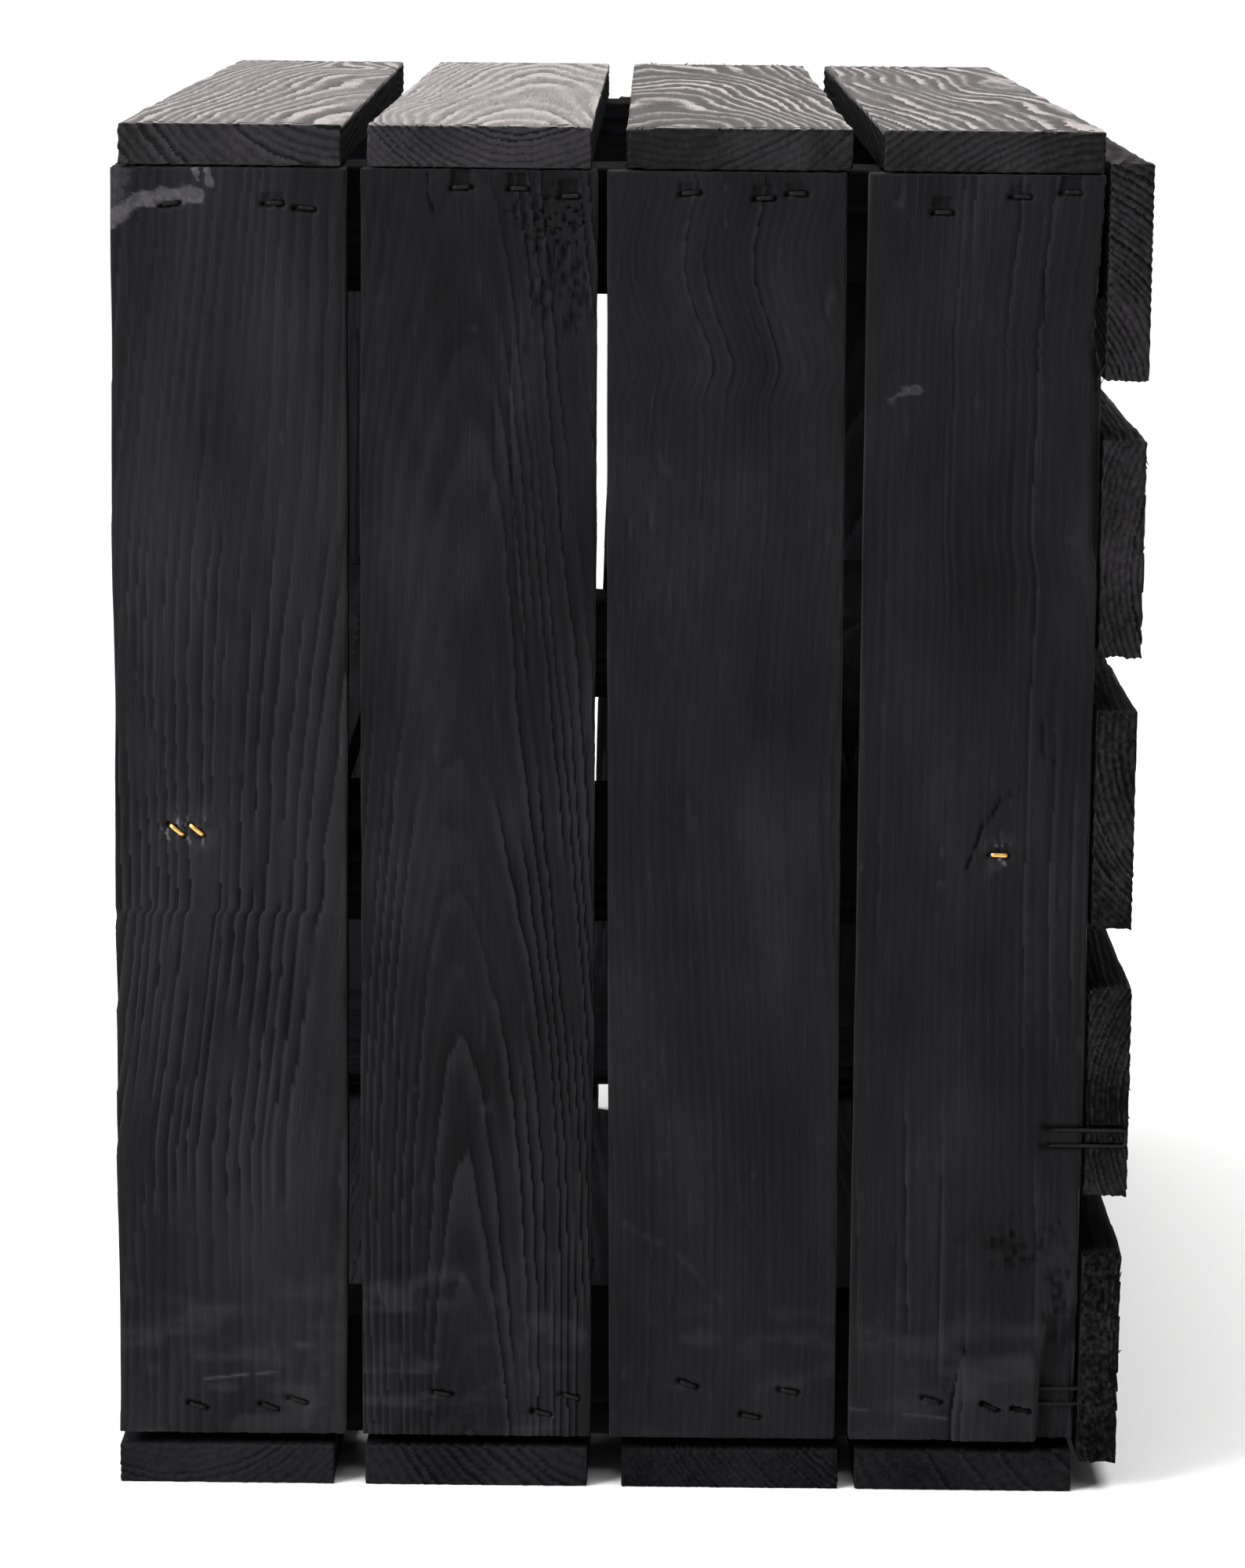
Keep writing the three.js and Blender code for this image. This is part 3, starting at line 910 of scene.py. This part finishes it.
def splintered_edge(q, t):
    """The last board's right-hand edge is broken away near its head, most at its outer face."""
    notch = np.interp(q, (346, 352, 357, 361, 371, 381, 395, 406), (0, 1.2, 3.0, 3.6, 3.4, 2.6, 1.4, 0.6))
    notch = notch * (0.8 + 0.35 * noise(q / 2.2, t / 3, 63))
    bevel = 2.8 * window(q, 300, 350, 16) * (1 - smooth(0, 4, t))
    return notch + bevel


def bellied_edge(q, t):
    """The second floor board's right-hand edge bellies out, and its rear corner has broken off."""
    return 8.0 * smooth(188, 193, q) - 4.6 * smooth(-215, -70, q)


SHALLOW_NOSE = 0.4  # height of the stapler's mark where it hardly shows
CROWN_SINK = 0.3    # how far a crown lies below the board's face


def front_staples():
    """The front wall's staples, and the seats that they leave in each board."""
    seats = [[], [], [], []]
    chance = np.random.default_rng(21)
    for i in range(12):
        for row, odds in (("top", 0.75), ("bottom", 0.15)):
            middle, crown = cad_staple(f"{row}_staple_{i + 1}", Y, "steel", i)
            driver = chance.uniform(2.5, 4.8) if chance.random() < odds else SHALLOW_NOSE
            seats[i // 3].append(staple_seat(middle[[0, 2]], crown[[0, 2]], driver))
    for i, board in enumerate((0, 0, 3)):
        middle, crown = cad_staple(f"brass_staple_{i + 1}", Y, "brass", 30 + i)
        seats[board].append(staple_seat(middle[[0, 2]], crown[[0, 2]], 1.6 * i))
        seats[board].append(chipped(middle[[0, 2]], 6.5 if board == 0 else 4.2, 100 + i))
    for i in range(2):
        cad_staple(f"side_staple_{i + 1}", -X, "steel", 40 + i)
    return seats


def board_staples(node, axes, spots, seed, solids):
    """A board's staples that have no CAD node. Their wires go to solids, and their seats are returned."""
    along, across, inward = axes
    place = board_place(node, *axes)
    chance = np.random.default_rng(seed)
    seats = []
    for share, distance in spots:
        at_foot = distance > 0
        q = place["a"][0 if at_foot else 1] + distance
        low, high = place["foot" if at_foot else "head"]
        p = low + (high - low) * share + chance.uniform(-4, 4)
        q = q + chance.uniform(-2, 2)
        turn = np.radians(chance.normal(0, 8))
        crown = np.cos(turn) * across + np.sin(turn) * along
        middle = p * across + q * along + (place["t"][0] + CROWN_SINK) * inward
        solids.append(staple_wire(middle, crown, inward, LEG, chance.uniform(-0.2, 0.3)))
        driver = chance.uniform(2, 4) if chance.random() < 0.4 else SHALLOW_NOSE
        seats.append(staple_seat((p, q), (np.cos(turn), np.sin(turn)), driver))
    return seats


def make_group(name, solids, finish):
    """Small solids as one piece that stands for no CAD node."""
    points, faces = joined(solids)
    piece = write_mesh(name, points, faces, {"grain": points})
    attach(piece, "root")
    finish_piece(piece, finish)


def make_front_wall():
    """The end wall that faces the camera, with its own marks on each board."""
    zones = ((0, 20), (370, 398))
    more_zones = (((172, 200),), (), (), ((176, 194), (323, 335)))
    rings = (sawn_rings, arched_rings, curved_rings, plain_rings)
    seats = front_staples()
    for i, wood in enumerate(END_WALL):
        fine = (0.6, zones + more_zones[i])
        marks = [fine_wear(110 + i), *FRONT_MARKS[i], *seats[i]]
        node = f"front_board_{i + 1}"
        piece = make_board(node, FRONT, wood, 100 + i, (2.0, 0.56, 1.0), fine, marks,
                           edge_shape=BROKEN_EDGES.get(node), rings=rings[i])
        finish_board(piece, "end_wall")


# Staples in a board: the share of its width, and the distance from its foot or, below 0, from its head.
ENDS = ((0.2, 8), (0.5, 7), (0.8, 8), (0.2, -8), (0.5, -9), (0.8, -8))
SHELF_ENDS = ((0.3, 30), (0.7, 30), (0.3, -30), (0.7, -30))
BASE_SPOTS = ((0.25, 6), (0.75, 7), (0.3, 240), (0.7, 243), (0.25, -7), (0.75, -6))

# Each wall's boards: their name, directions, cuts of wood, grid steps and fine stretches, first seeds for
# the grain, the staples and the nicks (None for no nicks), the staples' places, the slot and the finish.
OTHER_WALLS = {
    "top": ("top_board", TOP, LONG_WALL, (2.0, 0.65, 0.5), (0.6, ((0, 16),)),
            300, 30, 130, ENDS, "long_wall_wood", "top"),
    "floor": ("bottom_board", FLOOR, FLOOR_WALL, (3.0, 0.7, 0.5), (1.0, ((0, 14),)),
              400, 40, None, ENDS, "long_wall_wood", "floor"),
    "rear": ("rear_board", REAR, REAR_WALL, (2.6, 0.9, 1.0), (1.0, ((0, 14), (390, 404))),
             200, 20, 120, ENDS, "end_wall_wood", "end_wall"),
    "base": ("base_board", SIDE, BASE, (2.4, 0.65, 0.5), (0.8, ((0, 12),)),
             500, 60, 150, BASE_SPOTS, "base_wood", "base"),
    "shelf": ("shelf_board", TOP, [SHELF] * 4, (3.0, 1.1, 1.0), (0.8, ()),
              600, 50, None, SHELF_ENDS, "shelf_wood", "shelf"),
}
BROKEN_EDGES = {"front_board_4": splintered_edge, "bottom_board_2": bellied_edge}
END_MARKS = {"base_board_4": (end_grooves,)}


def make_other_wall(boards, axes, woods, steps, fine, seed, staple_seed, nick_seed, spots, slot, finish):
    """The boards of a wall, and the wires of the staples that hold them."""
    wires = []
    for i, wood in enumerate(woods):
        node = f"{boards}_{i + 1}"
        nicks = [] if nick_seed is None else [fine_wear(nick_seed + i)]
        marks = nicks + board_staples(node, axes, spots, staple_seed + i, wires)
        piece = make_board(node, axes, wood, seed + i, steps, fine, marks, END_MARKS.get(node, ()),
                           BROKEN_EDGES.get(node))
        finish_board(piece, finish)
    return wires


def make_other_walls():
    for name, wall in OTHER_WALLS.items():
        make_group(f"{name}_wires", make_other_wall(*wall), "steel")


BARK_HEIGHT = 11  # how far up the missing arris reaches
BARK_REST = 3     # how much of the post is left at its underside


def bark_edge(p, q):
    """The rear bottom post's lower inner arris is missing, as it lay at the log's edge."""
    low, high = (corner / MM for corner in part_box("rear_bottom_post"))
    share = np.clip((low.z + BARK_HEIGHT - p) / BARK_HEIGHT, 0, 1)
    return (high.y - low.y - BARK_REST) * share + 0.6 * noise(q / 25, p / 8, 64) * (share > 0), 0 * p


def make_posts():
    posts = ("front_top_post", "rear_top_post", "front_shelf_batten", "rear_shelf_batten",
             "front_bottom_post", "rear_bottom_post")
    for i, node in enumerate(posts):
        inward = Y if node.startswith("rear") else -Y
        marks = [bark_edge] if node == "rear_bottom_post" else []
        piece = make_board(node, (X, Z, inward), POST, 700 + i, (3.0, 1.2, 1.5), marks=marks)
        finish_board(piece, "post")


def arris_splinters(node, axes, count, seed, at_head=False):
    """Torn fibres along the end of a board's outer face."""
    along, across, inward = axes
    place = board_place(node, *axes)
    chance = np.random.default_rng(seed)
    low, high = place["head" if at_head else "foot"]
    q = place["a"][1] if at_head else place["a"][0]
    solids = []
    for _ in range(count):
        p = chance.uniform(low + 2, high - 2)
        root = p * across + (q + chance.uniform(-0.2, 0.2)) * along + (place["t"][0] + 0.5) * inward
        side = chance.choice((-1.0, 1.0)) * across + chance.normal(0, 0.3) * along
        side = unit(side - chance.uniform(0, 0.5) * inward)
        lift = unit(-inward - (-inward @ side) * side)
        solids.append(splinter(root, side, lift, chance.gamma(2, 0.3) + 0.6, chance.uniform(0.5, 1.2)))
    return solids


def edge_splinters():
    """Fibres across the break in the last board's right-hand edge."""
    place = board_place("front_board_4", *FRONT)
    chance = np.random.default_rng(830)
    solids = []
    for _ in range(9):
        height = chance.uniform(341, 362)
        root = (place["head"][1] - chance.uniform(1.5, 3.5)) * X + height * Z
        root = root + (place["t"][0] + chance.uniform(0.6, 4)) * Y
        along = unit(chance.choice((-1.0, 1.0)) * Z + chance.uniform(0.1, 0.4) * X)
        lift = np.cross(along, Y)
        lift = lift * np.sign(lift @ X)
        solids.append(splinter(root, along, lift, chance.uniform(4, 12), chance.uniform(0.4, 0.9)))
    return solids


def make_splinters():
    top = []
    for i, count in enumerate((14, 26, 20, 14)):
        top.extend(arris_splinters(f"top_board_{i + 1}", TOP, count, 800 + i))
    top.extend(arris_splinters("top_board_3", TOP, 26, 810, at_head=True))
    make_group("top_splinters", top, "end_wall")
    base = []
    for i, count in enumerate((2, 3, 8, 4, 5)):
        base.extend(arris_splinters(f"base_board_{i + 1}", SIDE, count, 820 + i))
    make_group("base_splinters", base, "base")
    make_group("edge_splinters", edge_splinters(), "end_wall")


# ---------- stage, light and camera


FLOOR_RADIUS = 2.2  # metres
FILL_LIGHT = 0.12   # how much of the white room's light reaches the crate


def make_stage():
    bpy.ops.mesh.primitive_circle_add(vertices=96, radius=FLOOR_RADIUS, fill_type="NGON", location=(0, 0, 0))
    floor = bpy.context.object
    floor.name = "floor"
    material, shader = new_material("pale_floor")
    shader.inputs["Base Color"].default_value = (0.9, 0.9, 0.9, 1)
    shader.inputs["Roughness"].default_value = 0.8
    floor.data.materials.append(material)


def make_light(name, place, target, size, power, colour=(1, 1, 1)):
    """A soft box that stays out of the picture."""
    data = bpy.data.lights.new(name, "AREA")
    data.shape = "RECTANGLE"
    data.size, data.size_y = size
    data.energy = power
    data.color = colour
    light = bpy.data.objects.new(name, data)
    light.location = place
    light.visible_camera = False
    light.rotation_euler = (Vector(target) - Vector(place)).to_track_quat("-Z", "Y").to_euler()
    bpy.context.scene.collection.objects.link(light)


def make_world():
    """A white room whose light on the crate is only a dim fill."""
    world = bpy.data.worlds.new("studio")
    world.use_nodes = True
    nodes, links = world.node_tree.nodes, world.node_tree.links
    background = nodes["Background"]
    background.inputs["Color"].default_value = (1, 1, 1, 1)
    path = nodes.new("ShaderNodeLightPath")
    strength = nodes.new("ShaderNodeMapRange")
    strength.inputs["To Min"].default_value = FILL_LIGHT
    links.new(path.outputs["Is Camera Ray"], strength.inputs["Value"])
    links.new(strength.outputs["Result"], background.inputs["Strength"])
    bpy.context.scene.world = world


CAMERA = {"place": (0.0052, -1.7545, 0.4963), "pitch": 10.29, "yaw": -0.231, "roll": 0.541, "lens": 116.18}


def make_camera():
    data = bpy.data.cameras.new("camera")
    data.lens = CAMERA["lens"]
    data.sensor_width = 36
    data.clip_start, data.clip_end = 0.05, 100
    camera = bpy.data.objects.new("camera", data)
    turn = Matrix.Rotation(math.radians(-CAMERA["yaw"]), 4, "Z")
    tilt = Matrix.Rotation(math.radians(90 - CAMERA["pitch"]), 4, "X")
    roll = Matrix.Rotation(math.radians(CAMERA["roll"]), 4, "Z")
    camera.matrix_world = Matrix.Translation(CAMERA["place"]) @ turn @ tilt @ roll
    bpy.context.scene.collection.objects.link(camera)
    bpy.context.scene.camera = camera


make_camera()
make_stage()
make_world()
make_light("overhead", (0, 0, 2.2), (0, 0, 0), (2.6, 2.6), 95)
make_light("key", (-1.9, -1.4, 1.5), (0, -0.1, 0.25), (1.2, 1.4), 85)
make_light("back", (-0.2, 2.4, 1.2), (0, 0, 0.4), (2.2, 1.3), 17, (1.0, 0.91, 0.88))
bpy.context.scene.view_settings.view_transform = "Standard"
make_front_wall()
make_other_walls()
make_posts()
make_splinters()
